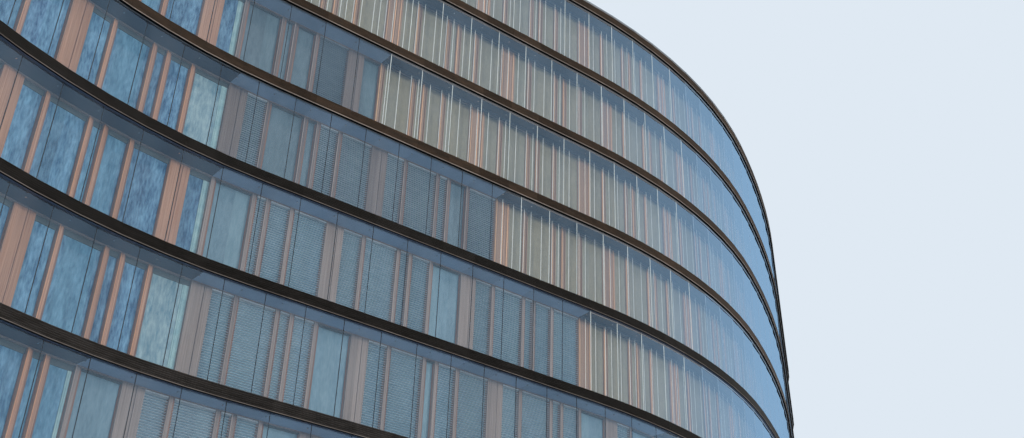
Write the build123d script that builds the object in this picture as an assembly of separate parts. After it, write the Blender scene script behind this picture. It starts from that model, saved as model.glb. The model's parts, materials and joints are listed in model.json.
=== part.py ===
from build123d import *
import math
import os
from typing import NamedTuple

# A curved office building with a skin of flat glass sheets, at half of its real size.
# Millimetres of the model. +X runs along the straight stretch of the front, the front
# looks to -Y, the ground is at z = 0, and the origin is under the middle of the box.
# All round, floor slabs carry dark sun ledges, glass sheets stand from slab to slab,
# and behind a narrow walkway stand the timber piers of the inner wall.

# Plan of the outer glass
PANE_WIDTH = 675.0
SHEET_PANES = 2
LEFT_WING_PANES = 4
CONCAVE_RADIUS = 10250.0
CONCAVE_SHEET_COUNT = 4
STRAIGHT_PANES = 10
CONVEX_RADIUS = 14000.0
CONVEX_SHEET_COUNT = 5
GENTLE_RADIUS = 31000.0
GENTLE_SHEET_COUNT = 4
RIGHT_WING_PANES = 14
BUILDING_DEPTH = 6750.0
END_SHEET_COUNT = 8
BACK_HOLLOW_SHEET_COUNT = 3
BACK_GENTLE_SHEET_COUNT = 3
BACK_ROUND_SHEET_COUNT = 7

# Heights
GROUND_SLAB_THICKNESS = 150.0
GROUND_STOREY_HEIGHT = 3150.0
STOREY_HEIGHT = 1800.0
UPPER_STOREYS = 8
SLAB_THICKNESS = 195.0

# Skin, ledges and roof edge
GLASS_THICKNESS = 12.0
GLASS_JOINT = 8.0
LEDGE_PROJECTION = 50.0
LEDGE_JOINT = 6.0
UPSTAND_THICKNESS = 100.0
UPSTAND_HEIGHT = 60.0
UPSTAND_JOINT = 6.0

# Inner timber wall
WALKWAY_DEPTH = 350.0
PIER_WIDTH = 325.0
PIER_DEPTH = 120.0
PIER_PANES = 4
PIER_LEAD_PANES = 2.24
PIER_STEP_PANES = 1

# Doorway in the straight front, between two piers
DOORWAY_LEAD_PANES = 3
DOORWAY_PANES = 2
DOORWAY_HEIGHT = 1350.0
PORTAL_THICKNESS = 40.0


class Run(NamedTuple):
    """One straight or evenly curved stretch of the outer line, walked with the inside on the left."""
    length: float
    bend: float
    sheets: int
    panes: int


class Place(NamedTuple):
    """A point of the outer line with its direction of travel in radians."""
    x: float
    y: float
    heading: float

    def shifted(self, outward=0.0, along=0.0):
        """Point moved out of the building and along the line."""
        forward = (math.cos(self.heading), math.sin(self.heading))
        return (self.x + along * forward[0] + outward * forward[1],
                self.y + along * forward[1] - outward * forward[0])


def sheet_angle(radius):
    """Angle that one flat sheet of the skin covers on an arc."""
    return 2.0 * math.asin(SHEET_PANES * PANE_WIDTH / 2.0 / radius)


def arc(radius, angle, sheets, inward=False):
    """Run on an arc whose centre lies inside the building, or outside it where the line curves inward."""
    bend = -1.0 / radius if inward else 1.0 / radius
    return Run(radius * angle, bend, sheets, sheets * SHEET_PANES)


def straight(panes):
    """Straight run covered by one long sheet."""
    return Run(panes * PANE_WIDTH, 0.0, 1, panes)


concave_angle = CONCAVE_SHEET_COUNT * sheet_angle(CONCAVE_RADIUS)
convex_angle = CONVEX_SHEET_COUNT * sheet_angle(CONVEX_RADIUS)
gentle_angle = GENTLE_SHEET_COUNT * sheet_angle(GENTLE_RADIUS)

RUNS = [
    straight(LEFT_WING_PANES),
    arc(CONCAVE_RADIUS, concave_angle, CONCAVE_SHEET_COUNT, inward=True),
    straight(STRAIGHT_PANES),
    arc(CONVEX_RADIUS, convex_angle, CONVEX_SHEET_COUNT),
    arc(GENTLE_RADIUS, gentle_angle, GENTLE_SHEET_COUNT),
    straight(RIGHT_WING_PANES),
    arc(BUILDING_DEPTH / 2.0, math.pi, END_SHEET_COUNT),
    straight(RIGHT_WING_PANES),
    arc(GENTLE_RADIUS - BUILDING_DEPTH, gentle_angle, BACK_GENTLE_SHEET_COUNT, inward=True),
    arc(CONVEX_RADIUS - BUILDING_DEPTH, convex_angle, BACK_HOLLOW_SHEET_COUNT, inward=True),
    straight(STRAIGHT_PANES),
    arc(CONCAVE_RADIUS + BUILDING_DEPTH, concave_angle, BACK_ROUND_SHEET_COUNT),
    straight(LEFT_WING_PANES),
    arc(BUILDING_DEPTH / 2.0, math.pi, END_SHEET_COUNT),
]
PERIMETER = sum(run.length for run in RUNS)
PANE_TOTAL = sum(run.panes for run in RUNS)
straight_start = RUNS[0].length + RUNS[1].length
straight_length = RUNS[2].length
panes_before_straight = RUNS[0].panes + RUNS[1].panes
sheets_before_straight = RUNS[0].sheets + RUNS[1].sheets
doorway_width = DOORWAY_PANES * PANE_WIDTH
doorway_middle = straight_start + (DOORWAY_LEAD_PANES + DOORWAY_PANES / 2.0) * PANE_WIDTH


def along_run(start, run, distance):
    """Place reached after a distance on a run that starts at a place."""
    if run.bend == 0.0:
        x, y = start.shifted(along=distance)
        return Place(x, y, start.heading)
    heading = start.heading + run.bend * distance
    return Place(start.x + (math.sin(heading) - math.sin(start.heading)) / run.bend,
                 start.y - (math.cos(heading) - math.cos(start.heading)) / run.bend,
                 heading)


def place_at(distance, start):
    """Place at a distance along the whole outer line, which closes on itself."""
    distance = distance % PERIMETER
    here = start
    for run in RUNS:
        if distance <= run.length:
            return along_run(here, run, distance)
        here = along_run(here, run, run.length)
        distance -= run.length
    return here


def pane_distance(number):
    """Distance along the outer line of a pane joint, counted from the start of the line."""
    number = number % PANE_TOTAL
    travelled = 0.0
    for run in RUNS:
        if number <= run.panes:
            return travelled + run.length * number / run.panes
        travelled += run.length
        number -= run.panes
    return travelled


def corner_distances():
    """Distances of the corners between flat sheets."""
    corners = []
    travelled = 0.0
    for run in RUNS:
        step = run.length / run.sheets
        corners += [travelled + step * i for i in range(run.sheets)]
        travelled += run.length
    return corners


def centred_start():
    """Start of the outer line that puts the middle of the ledges' box over the origin."""
    trial = Place(0.0, 0.0, concave_angle)
    points = [place_at(d, trial).shifted(LEDGE_PROJECTION) for d in corner_distances()]
    middle_x = (min(p[0] for p in points) + max(p[0] for p in points)) / 2.0
    middle_y = (min(p[1] for p in points) + max(p[1] for p in points)) / 2.0
    return Place(-middle_x, -middle_y, concave_angle)


START = centred_start()


def prism(points, bottom, height):
    """Upright solid on a closed plan outline."""
    outline = Wire.make_polygon([(x, y, bottom) for x, y in points], close=True)
    return Solid.extrude(Face(outline), Vector(0, 0, height))


def facet(first, second, inner, outer, joint, bottom, height):
    """Flat piece between two places of the outer line, with mitred ends held back by half a joint."""
    a = place_at(first, START)
    b = place_at(second, START)
    inner_a, inner_b = a.shifted(inner), b.shifted(inner)
    outer_a, outer_b = a.shifted(outer), b.shifted(outer)
    chord = math.dist(outer_a, outer_b)
    step = ((outer_b[0] - outer_a[0]) / chord * joint / 2.0, (outer_b[1] - outer_a[1]) / chord * joint / 2.0)
    points = [(outer_a[0] + step[0], outer_a[1] + step[1]), (outer_b[0] - step[0], outer_b[1] - step[1]),
              (inner_b[0] - step[0], inner_b[1] - step[1]), (inner_a[0] + step[0], inner_a[1] + step[1])]
    return prism(points, bottom, height)


def ring(corners, inner, outer, joint, bottom, height):
    """Closed ring of flat facets between corner distances."""
    following = corners[1:] + [corners[0] + PERIMETER]
    return [facet(a, b, inner, outer, joint, bottom, height) for a, b in zip(corners, following)]


def block(distance, width, inner, outer, bottom, height):
    """Square-cut block at a place of the outer line."""
    here = place_at(distance, START)
    points = [here.shifted(outer, -width / 2.0), here.shifted(outer, width / 2.0),
              here.shifted(inner, width / 2.0), here.shifted(inner, -width / 2.0)]
    return prism(points, bottom, height)


def soffit(level):
    """Height of the underside of the slab over the given storey, ground storey 0."""
    return GROUND_STOREY_HEIGHT + level * STOREY_HEIGHT


def floor_top(level):
    """Height of the floor that people walk on in the given storey."""
    if level == 0:
        return GROUND_SLAB_THICKNESS
    return soffit(level - 1) + SLAB_THICKNESS


def slab(bottom, thickness):
    """Floor plate that fills the outer line."""
    points = [place_at(d, START).shifted() for d in corner_distances()]
    return [prism(points, bottom, thickness)]


def sun_ledge(level):
    """Dark ledge hung all round on the edge of the slab over a storey."""
    return ring(corner_distances(), 0.0, LEDGE_PROJECTION, LEDGE_JOINT, soffit(level), SLAB_THICKNESS)


def glass_skin(level):
    """Flat glass sheets from floor to soffit, with the doorway left open in the ground storey."""
    bottom = floor_top(level)
    height = soffit(level) - bottom
    sheets = ring(corner_distances(), -GLASS_THICKNESS, 0.0, GLASS_JOINT, bottom, height)
    if level > 0:
        return sheets
    del sheets[sheets_before_straight]
    door_left = doorway_middle - doorway_width / 2.0
    door_right = doorway_middle + doorway_width / 2.0
    head_top = bottom + DOORWAY_HEIGHT + PORTAL_THICKNESS
    sheets.append(facet(straight_start, door_left, -GLASS_THICKNESS, 0.0, GLASS_JOINT, bottom, height))
    sheets.append(facet(door_right, straight_start + straight_length, -GLASS_THICKNESS, 0.0, GLASS_JOINT,
                        bottom, height))
    sheets.append(facet(door_left, door_right, -GLASS_THICKNESS, 0.0, GLASS_JOINT, head_top,
                        soffit(level) - head_top))
    return sheets


def timber_piers(level):
    """Wide timber piers of the inner wall, stepped by one pane at every other storey."""
    bottom = floor_top(level)
    first = panes_before_straight + PIER_LEAD_PANES + PIER_STEP_PANES * (level % 2)
    back = -WALKWAY_DEPTH - PIER_DEPTH
    return [block(pane_distance(first + PIER_PANES * i), PIER_WIDTH, back, -WALKWAY_DEPTH,
                  bottom, soffit(level) - bottom) for i in range(round(PANE_TOTAL / PIER_PANES))]


def entrance_jambs():
    """Side linings of the doorway, from the skin to the back of the timber wall."""
    inner = -WALKWAY_DEPTH - PIER_DEPTH
    side = (doorway_width - GLASS_JOINT - PORTAL_THICKNESS) / 2.0
    return [block(doorway_middle + sign * side, PORTAL_THICKNESS, inner, 0.0, GROUND_SLAB_THICKNESS,
                  DOORWAY_HEIGHT) for sign in (-1, 1)]


def entrance_head():
    """Head of the doorway, laid on the two side linings."""
    inner = -WALKWAY_DEPTH - PIER_DEPTH
    return [block(doorway_middle, doorway_width - GLASS_JOINT, inner, 0.0,
                  GROUND_SLAB_THICKNESS + DOORWAY_HEIGHT, PORTAL_THICKNESS)]


def roof_upstand():
    """Low kerb on the edge of the roof slab."""
    return ring(corner_distances(), -UPSTAND_THICKNESS, 0.0, UPSTAND_JOINT,
                soffit(UPPER_STOREYS) + SLAB_THICKNESS, UPSTAND_HEIGHT)


def storey_name(level):
    """Name ending of a storey."""
    return "ground" if level == 0 else f"level_{level}"


def model():
    """All pieces of the building by node name."""
    pieces = {"ground_slab": slab(0.0, GROUND_SLAB_THICKNESS)}
    for level in range(UPPER_STOREYS + 1):
        above = "roof" if level == UPPER_STOREYS else f"level_{level + 1}"
        pieces[f"glass_skin_{storey_name(level)}"] = glass_skin(level)
        pieces[f"timber_piers_{storey_name(level)}"] = timber_piers(level)
        pieces[f"floor_slab_{above}"] = slab(soffit(level), SLAB_THICKNESS)
        pieces[f"sun_ledge_{above}"] = sun_ledge(level)
    pieces["entrance_jambs"] = entrance_jambs()
    pieces["entrance_head"] = entrance_head()
    pieces["roof_upstand"] = roof_upstand()
    return pieces


os.makedirs("parts", exist_ok=True)
for name, solids in model().items():
    shape = solids[0] if len(solids) == 1 else Compound(children=solids)
    export_step(shape, f"parts/{name}.step")
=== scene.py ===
"""Finish of a curved glass office building, a model at half of its real size, in metres.

Flat panes stand in front of a narrow walkway. Behind it is a wall of timber panels, slim
posts and full-height windows. A dark louvred ledge runs round the building at every floor.
"""

import json
import logging
import math
import random
from abc import ABC, abstractmethod
from dataclasses import dataclass, field
from enum import Enum
from typing import Iterable, Iterator

import bmesh
import bpy
import numpy as np
from mathutils import Matrix, Vector

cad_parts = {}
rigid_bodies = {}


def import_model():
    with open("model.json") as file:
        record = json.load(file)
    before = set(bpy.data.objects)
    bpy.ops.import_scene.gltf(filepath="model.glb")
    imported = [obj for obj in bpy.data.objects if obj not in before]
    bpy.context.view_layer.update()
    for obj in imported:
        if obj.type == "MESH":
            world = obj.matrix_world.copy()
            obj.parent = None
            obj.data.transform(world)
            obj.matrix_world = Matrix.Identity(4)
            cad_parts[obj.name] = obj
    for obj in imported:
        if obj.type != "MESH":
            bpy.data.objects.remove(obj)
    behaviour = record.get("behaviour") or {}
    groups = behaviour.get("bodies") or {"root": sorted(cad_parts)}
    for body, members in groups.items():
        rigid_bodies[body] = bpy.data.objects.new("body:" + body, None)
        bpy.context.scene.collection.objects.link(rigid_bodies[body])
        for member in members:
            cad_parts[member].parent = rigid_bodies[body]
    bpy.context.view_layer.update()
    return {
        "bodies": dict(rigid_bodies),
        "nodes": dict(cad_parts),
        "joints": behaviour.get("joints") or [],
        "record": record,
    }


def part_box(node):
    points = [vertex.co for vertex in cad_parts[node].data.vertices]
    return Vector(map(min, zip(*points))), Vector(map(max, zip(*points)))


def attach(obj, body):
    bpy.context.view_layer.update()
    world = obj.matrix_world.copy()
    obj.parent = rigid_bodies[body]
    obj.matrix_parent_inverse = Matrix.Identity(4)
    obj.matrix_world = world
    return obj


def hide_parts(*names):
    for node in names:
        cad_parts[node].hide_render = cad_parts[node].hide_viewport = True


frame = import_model()

LOG = logging.getLogger("office_building")
MM = 0.001
TOP_LEVEL = 8
LAST_LOW_LEVEL = 4
CHANCE = random.Random(5)

Span = tuple[float, float]
Triple = tuple[float, float, float]
Socket = bpy.types.NodeSocket

# Spans that hold most values of a noise pattern, the second for a crisper blend.
SOFT: Span = (0.3, 0.7)
CRISP: Span = (0.35, 0.65)


def linear(code: str) -> tuple[float, float, float, float]:
    """Turns an sRGB hex colour into linear light.

    Args:
        code: Colour such as "#8090a0".

    Returns:
        Red, green, blue and a full alpha.
    """
    channels = [int(code[i:i + 2], 16) / 255.0 for i in (1, 3, 5)]
    light = [c / 12.92 if c <= 0.04045 else ((c + 0.055) / 1.055) ** 2.4 for c in channels]
    return (light[0], light[1], light[2], 1.0)


# Plan and storeys


@dataclass(frozen=True)
class Place:
    """A point of the outer line with its direction of travel in radians."""

    x: float
    y: float
    heading: float

    def shifted(self, inward: float = 0.0, along: float = 0.0) -> Span:
        """Point moved into the building and along the line."""
        ahead = Vector((math.cos(self.heading), math.sin(self.heading)))
        return (self.x + along * ahead.x - inward * ahead.y, self.y + along * ahead.y + inward * ahead.x)


@dataclass(frozen=True)
class Run:
    """One straight or evenly curved stretch of the outer line, walked with the inside on the left."""

    length: float
    bend: float
    sheets: int
    panes: int
    paired: bool = False


@dataclass
class FacadeLine:
    """Outer line of the glass in plan, which closes on itself."""

    pane: float = 0.675
    left_wing_panes: int = 4
    concave_radius: float = 10.25
    concave_sheets: int = 4
    straight_panes: int = 10
    convex_radius: float = 14.0
    convex_sheets: int = 5
    gentle_radius: float = 31.0
    gentle_sheets: int = 4
    right_wing_panes: int = 14
    depth: float = 6.75
    end_sheets: int = 8
    back_hollow_sheets: int = 3
    back_gentle_sheets: int = 3
    back_round_sheets: int = 7
    ledge: float = 0.05
    pier_panes: int = 4
    runs: list[Run] = field(init=False)
    start: Place = field(init=False)

    def __post_init__(self) -> None:
        """Works out the runs and puts the middle of the ledges' box over the origin."""
        concave, convex, gentle = (
            sheets * 2.0 * math.asin(self.pane / radius)
            for radius, sheets in ((self.concave_radius, self.concave_sheets),
                                   (self.convex_radius, self.convex_sheets),
                                   (self.gentle_radius, self.gentle_sheets)))
        left_wing, straight, right_wing = (
            Run(n * self.pane, 0.0, 1, n)
            for n in (self.left_wing_panes, self.straight_panes, self.right_wing_panes))
        cap = self.arc(self.depth / 2.0, math.pi, self.end_sheets)
        self.runs = [
            left_wing,
            self.arc(-self.concave_radius, concave, self.concave_sheets),
            straight,
            self.arc(self.convex_radius, convex, self.convex_sheets),
            self.arc(self.gentle_radius, gentle, self.gentle_sheets),
            right_wing,
            cap,
            right_wing,
            self.arc(self.depth - self.gentle_radius, gentle, self.back_gentle_sheets),
            self.arc(self.depth - self.convex_radius, convex, self.back_hollow_sheets, paired=True),
            straight,
            self.arc(self.concave_radius + self.depth, concave, self.back_round_sheets),
            left_wing,
            cap,
        ]
        self.start = Place(0.0, 0.0, concave)
        corners = [self.along(here, run, run.length * i / run.sheets).shifted(-self.ledge)
                   for here, run in self.legs() for i in range(run.sheets)]
        middle = [(min(c[i] for c in corners) + max(c[i] for c in corners)) / 2.0 for i in (0, 1)]
        self.start = Place(-middle[0], -middle[1], concave)

    @staticmethod
    def arc(radius: float, angle: float, sheets: int, paired: bool = False) -> Run:
        """Run on an arc.

        Args:
            radius: Radius of the outer line, negative where the line curves inward.
            angle: Angle that the arc covers.
            sheets: Number of modelled glass sheets, each for two panes.
            paired: True if the two panes of a sheet lie flat.

        Returns:
            The run.
        """
        return Run(abs(radius) * angle, 1.0 / radius, sheets, 2 * sheets, paired)

    @property
    def pane_count(self) -> int:
        """Number of panes in one storey."""
        return sum(run.panes for run in self.runs)

    @property
    def front_start(self) -> int:
        """Number of the pane at the left end of the straight front."""
        return self.runs[0].panes + self.runs[1].panes

    def panes(self, length: float) -> float:
        """Length in panes of a length in metres."""
        return length / self.pane

    def span(self, width: float, middle: float = 0.0) -> Span:
        """Ends in panes of a width in metres round a middle in panes."""
        half = self.panes(width / 2.0)
        return (middle - half, middle + half)

    @staticmethod
    def along(start: Place, run: Run, distance: float) -> Place:
        """Place reached after a distance on a run that starts at a place.

        Args:
            start: Place where the run starts.
            run: The run.
            distance: Distance in metres.

        Returns:
            The place.
        """
        if run.bend == 0.0:
            return Place(*start.shifted(along=distance), start.heading)
        heading = start.heading + run.bend * distance
        return Place(start.x + (math.sin(heading) - math.sin(start.heading)) / run.bend,
                     start.y - (math.cos(heading) - math.cos(start.heading)) / run.bend, heading)

    def legs(self) -> Iterator[tuple[Place, Run]]:
        """Each run with the place at which it starts.

        Yields:
            The place and the run.
        """
        here = self.start
        for run in self.runs:
            yield here, run
            here = self.along(here, run, run.length)

    def at_pane(self, number: float) -> Place:
        """Place of a pane joint, or of a share of a pane.

        Args:
            number: Panes counted from the start of the line.

        Returns:
            The place, on the flat of the pair where panes lie flat in pairs.
        """
        left = number % self.pane_count
        for here, run in self.legs():
            if left <= run.panes:
                if run.paired and left % 2.0 > 0.0:
                    return self.on_pair(here, run, left)
                return self.along(here, run, run.length * left / run.panes)
            left -= run.panes
        return self.start

    def on_pair(self, start: Place, run: Run, panes: float) -> Place:
        """Place on the flat between the ends of a pair of panes.

        Args:
            start: Place where the run starts.
            run: The run.
            panes: Panes from that place.

        Returns:
            The place.
        """
        step = run.length / run.panes
        first = 2.0 * (panes // 2.0)
        a = self.along(start, run, step * first)
        b = self.along(start, run, step * (first + 2.0))
        share = (panes - first) / 2.0
        return Place(a.x + (b.x - a.x) * share, a.y + (b.y - a.y) * share,
                     math.atan2(b.y - a.y, b.x - a.x))


LINE = FacadeLine()


class Blind(Enum):
    """What hangs in the walkway in front of a stretch of the inner wall."""

    # Each kind also marks a stretch of painted light: bare windows carry painted sky reflection, lowered blinds
    # painted shade, gathered ones painted sunlight.
    BARE = "no blind"
    LOWERED = "slats lowered"
    GATHERED = "slats gathered under the ceiling, tapes hanging"


@dataclass(frozen=True)
class BlindPlan:
    """Which blinds are down. Panes are counted from the left end of the straight front."""

    bare_from: float = -28.0
    bare_until: float = -1.0
    low_bare_until: float = -2.95
    low_level: int = 2
    # End of the lowered blinds on each storey, from the ground up; these ends step along the edge between
    # painted shade and painted sunlight.
    lowered_until: tuple[float, ...] = (19.0, 18.0, 16.0, 13.0, 10.0, 7.0, 3.0, -1.0, -1.0)
    front_until: float = 40.0
    # Elsewhere the panes share a state in groups, which repeat with a step per group and per storey.
    group: int = 7
    cycle: int = 7
    steps: tuple[int, int] = (5, 3)
    lowered_groups: int = 2

    def bare_end(self, level: int) -> float:
        """Pane number at which the windows without blinds end."""
        return self.low_bare_until if level == self.low_level else self.bare_until

    @staticmethod
    def from_front(number: float) -> float:
        """Panes from the left end of the straight front, less than half the line either way."""
        half = LINE.pane_count / 2.0
        return (number - LINE.front_start + half) % LINE.pane_count - half

    def state(self, level: int, number: float) -> Blind:
        """State of the blind in front of a pane.

        Args:
            level: Storey.
            number: Panes from the start of the line.

        Returns:
            The state of its blind.
        """
        shifted = self.from_front(number)
        if self.bare_from <= shifted < self.bare_end(level):
            return Blind.BARE
        if self.bare_end(level) <= shifted < self.front_until:
            return Blind.LOWERED if shifted < self.lowered_until[level] else Blind.GATHERED
        turn = (int(number) // self.group * self.steps[0] + level * self.steps[1]) % self.cycle
        return Blind.LOWERED if turn < self.lowered_groups else Blind.GATHERED


BLINDS = BlindPlan()


@dataclass(frozen=True)
class Storey:
    """One storey with its heights, which come from the floor slabs."""

    level: int

    @property
    def name(self) -> str:
        """Name ending of the storey."""
        return "ground" if self.level == 0 else f"level_{self.level}"

    @property
    def above(self) -> str:
        """Name ending of the slab and ledge over the storey."""
        return "roof" if self.level == TOP_LEVEL else f"level_{self.level + 1}"

    @property
    def floor(self) -> float:
        """Height of the floor."""
        slab = "ground_slab" if self.level == 0 else f"floor_slab_level_{self.level}"
        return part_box(slab)[1][2]

    @property
    def soffit(self) -> float:
        """Height of the underside of the slab above."""
        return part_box(f"floor_slab_{self.above}")[0][2]

    @property
    def slab_top(self) -> float:
        """Height of the top of the slab above."""
        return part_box(f"floor_slab_{self.above}")[1][2]

    @property
    def is_low(self) -> bool:
        """True for the storeys whose wall and ledge take copies painted for their light: a paler wall and a
        darker ledge.
        """
        return self.level <= LAST_LOW_LEVEL

    @property
    def stagger(self) -> float:
        """Panes by which the joints of the skin are shifted."""
        return 0.5 * (self.level % 2)

    def with_blind(self, state: Blind, places: Iterable[float], aside: float = 0.0) -> list[float]:
        """Those places whose blind is in a state, looked up a little aside of them."""
        return [p for p in places if BLINDS.state(self.level, p + aside) == state]

    def panes_with(self, state: Blind) -> list[float]:
        """Panes whose blind is in a state at their middle."""
        return self.with_blind(state, range(LINE.pane_count), 0.5)


# Finishes


class NodeSheet:
    """Node tree of one material or of the world."""

    def __init__(self, tree: bpy.types.NodeTree) -> None:
        """Starts with an empty tree."""
        self.tree = tree
        tree.nodes.clear()

    def add(self, kind: str, inputs: dict | tuple = (), out: int | str = 0,
            **settings: object) -> Socket | None:
        """Adds a node with its settings, values and links.

        Args:
            kind: Blender's name of the node type.
            inputs: Value or socket for each input, by name or number, or in their order.
            out: Name or number of the output to return.
            **settings: Properties of the node.

        Returns:
            That output, or None for a node without outputs.
        """
        node = self.tree.nodes.new(kind)
        for key, value in settings.items():
            setattr(node, key, value)
        for key, value in inputs.items() if isinstance(inputs, dict) else enumerate(inputs):
            if isinstance(value, Socket):
                self.tree.links.new(value, node.inputs[key])
            else:
                node.inputs[key].default_value = value
        return node.outputs[out] if node.outputs else None

    def cells(self, sizes: Triple, detail: float = 3.0, place: Triple = (0.0, 0.0, 0.0)) -> Socket:
        """Cloudy pattern from 0 to 1, whose cells have real sizes.

        Args:
            sizes: Size of a cell along each axis in metres.
            detail: Octaves of finer pattern.
            place: Shift of the pattern.

        Returns:
            The pattern.
        """
        source = self.add("ShaderNodeTexCoord", out="Object")
        scale = tuple(1.0 / s for s in sizes)
        at = self.add("ShaderNodeMapping", {"Vector": source, "Scale": scale, "Location": place})
        return self.add("ShaderNodeTexNoise", {"Vector": at, "Scale": 1.0, "Detail": detail}, "Fac")

    def blended(self, pattern: Socket, span: Span, first: str, second: str) -> Socket:
        """Blends two hex colours over a span of a pattern."""
        share = self.add("ShaderNodeMapRange", (pattern, *span, 0.0, 1.0))
        return self.add("ShaderNodeMix", {0: share, 6: linear(first), 7: linear(second)}, 2, data_type="RGBA")

    def shaded(self, colour: Socket, pattern: Socket, least: float, most: float,
               span: Span = (0.0, 1.0)) -> Socket:
        """Multiplies a colour by the least to the most over a span of a pattern."""
        factor = self.add("ShaderNodeMapRange", (pattern, *span, least, most))
        return self.add("ShaderNodeMix", {0: 1.0, 6: colour, 7: factor}, 2, data_type="RGBA",
                        blend_type="MULTIPLY")

    def bay_tone(self, width: float = 1.0) -> Socket:
        """Random number of each bay of the unrolled wall, from 0 to 1.

        Args:
            width: Width of a bay in the unit of the wall's length.

        Returns:
            The number.
        """
        unrolled = self.add("ShaderNodeTexCoord", out="UV")
        along = self.add("ShaderNodeSeparateXYZ", (unrolled,))
        bay = self.add("ShaderNodeMath", (along, width), operation="DIVIDE")
        whole = self.add("ShaderNodeMath", (bay,), operation="FLOOR")
        return self.add("ShaderNodeTexWhiteNoise", {"W": whole}, "Value", noise_dimensions="1D")


@dataclass(frozen=True)
class Finish(ABC):
    """A material, made once and then shared. Two hex colours are blended in it."""

    name: str
    first: str
    second: str

    @abstractmethod
    def surface(self, sheet: NodeSheet) -> Socket:
        """Builds the shader.

        Args:
            sheet: Sheet that the nodes go on.

        Returns:
            Output of the shader.
        """

    def material(self) -> bpy.types.Material:
        """Makes the material, or finds it if it was made before.

        Returns:
            The material.
        """
        made = bpy.data.materials.get(self.name)
        if made is None:
            made = bpy.data.materials.new(self.name)
            made.use_nodes = True
            sheet = NodeSheet(made.node_tree)
            sheet.add("ShaderNodeOutputMaterial", {"Surface": self.surface(sheet)})
        return made


@dataclass(frozen=True)
class OiledTimber(Finish):
    """Planed and oiled larch: warm, with fine upright grain and boards of slightly different tone."""

    # Width and length of the grain. Real larch has finer lines, which would not show.
    grain: float = 9.0 * MM
    length: float = 900.0 * MM
    # Width of a board in panes, and the range of the boards' tones.
    board: float = 0.08
    board_tones: Span = (0.86, 1.08)
    # Roughness over a span of the grain.
    rough_grain: Span = (0.2, 0.8)
    roughness: Span = (0.45, 0.67)
    relief: float = 1.0 * MM
    strength: float = 0.25

    def surface(self, sheet: NodeSheet) -> Socket:
        """Grain and board tones in the colour, grain in the roughness and bump.

        Args:
            sheet: Sheet that the nodes go on.

        Returns:
            Output of the shader.
        """
        grain = sheet.cells((self.grain, self.grain, self.length), 4.0)
        colour = sheet.blended(grain, SOFT, self.first, self.second)
        toned = sheet.shaded(colour, sheet.bay_tone(self.board), *self.board_tones)
        rough = sheet.add("ShaderNodeMapRange", (grain, *self.rough_grain, *self.roughness))
        bump = sheet.add("ShaderNodeBump", {"Height": grain, "Strength": self.strength,
                                            "Distance": self.relief})
        return sheet.add("ShaderNodeBsdfPrincipled", {"Base Color": toned, "Roughness": rough, "Normal": bump})


@dataclass(frozen=True)
class CoatedMetal(Finish):
    """Metal sheet or profile, anodised, brushed or powder coated, with a slight tone per length."""

    metallic: float = 0.1
    roughness: float = 0.5
    tone: float = 0.08
    specular: float = 0.5
    # Size of the soft patches, and how far they change the roughness.
    patch: Triple = (0.25, 0.25, 0.05)
    uneven: Span = (-0.07, 0.1)

    def surface(self, sheet: NodeSheet) -> Socket:
        """Soft patches, a tone for each length between joints and uneven roughness.

        Args:
            sheet: Sheet that the nodes go on.

        Returns:
            Output of the shader.
        """
        patches = sheet.cells(self.patch, 4.0)
        colour = sheet.blended(patches, CRISP, self.first, self.second)
        toned = sheet.shaded(colour, sheet.bay_tone(), 1.0 - self.tone, 1.0 + self.tone)
        rough = sheet.add("ShaderNodeMapRange",
                          (patches, *SOFT, *(self.roughness + change for change in self.uneven)))
        return sheet.add("ShaderNodeBsdfPrincipled", {
            "Base Color": toned, "Roughness": rough, "Metallic": self.metallic,
            "Specular IOR Level": self.specular})


@dataclass(frozen=True)
class CastOrRolled(Finish):
    """Matt mineral, woven or rubbery surface, such as concrete, cloth or silicone."""

    roughness: float = 0.8
    patch: float = 0.3
    # Cloth and silicone have a finer grit than this, which would not show.
    grit: float = 2.0 * MM
    grit_tones: Span = (0.93, 1.05)
    relief: float = 0.4 * MM
    strength: float = 0.3

    def surface(self, sheet: NodeSheet) -> Socket:
        """Wide clouds of tone with a fine grit in colour and bump.

        Args:
            sheet: Sheet that the nodes go on.

        Returns:
            Output of the shader.
        """
        clouds = sheet.cells((self.patch,) * 3)
        grit = sheet.cells((self.grit,) * 3, 2.0)
        colour = sheet.blended(clouds, CRISP, self.first, self.second)
        toned = sheet.shaded(colour, grit, *self.grit_tones, SOFT)
        bump = sheet.add("ShaderNodeBump", {"Height": grit, "Strength": self.strength,
                                            "Distance": self.relief})
        return sheet.add("ShaderNodeBsdfPrincipled", {"Base Color": toned, "Roughness": self.roughness,
                                                      "Normal": bump})


@dataclass(frozen=True)
class SeamedRoofing(Finish):
    """Welded roofing sheet, with a seam in the second colour at each roll width."""

    roll: float = 0.75
    seam_share: float = 0.03
    seam_relief: float = 3.0 * MM
    strength: float = 0.4
    dirt: Triple = (1.4, 0.9, 0.9)
    dirt_tones: Span = (0.86, 1.04)
    roughness: float = 0.75

    def surface(self, sheet: NodeSheet) -> Socket:
        """Even rolls along X with seams between them and a little dirt.

        Args:
            sheet: Sheet that the nodes go on.

        Returns:
            Output of the shader.
        """
        across = sheet.add("ShaderNodeSeparateXYZ", (sheet.add("ShaderNodeTexCoord", out="Object"),))
        rolls = sheet.add("ShaderNodeMath", (across, self.roll), operation="DIVIDE")
        part = sheet.add("ShaderNodeMath", (rolls,), operation="FRACT")
        on_seam = sheet.add("ShaderNodeMath", (part, self.seam_share), operation="LESS_THAN")
        base = sheet.blended(on_seam, (0.0, 1.0), self.first, self.second)
        toned = sheet.shaded(base, sheet.cells(self.dirt, 5.0), *self.dirt_tones, SOFT)
        bump = sheet.add("ShaderNodeBump", {"Height": on_seam, "Strength": self.strength,
                                            "Distance": self.seam_relief})
        return sheet.add("ShaderNodeBsdfPrincipled", {"Base Color": toned, "Roughness": self.roughness,
                                                      "Normal": bump})


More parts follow.
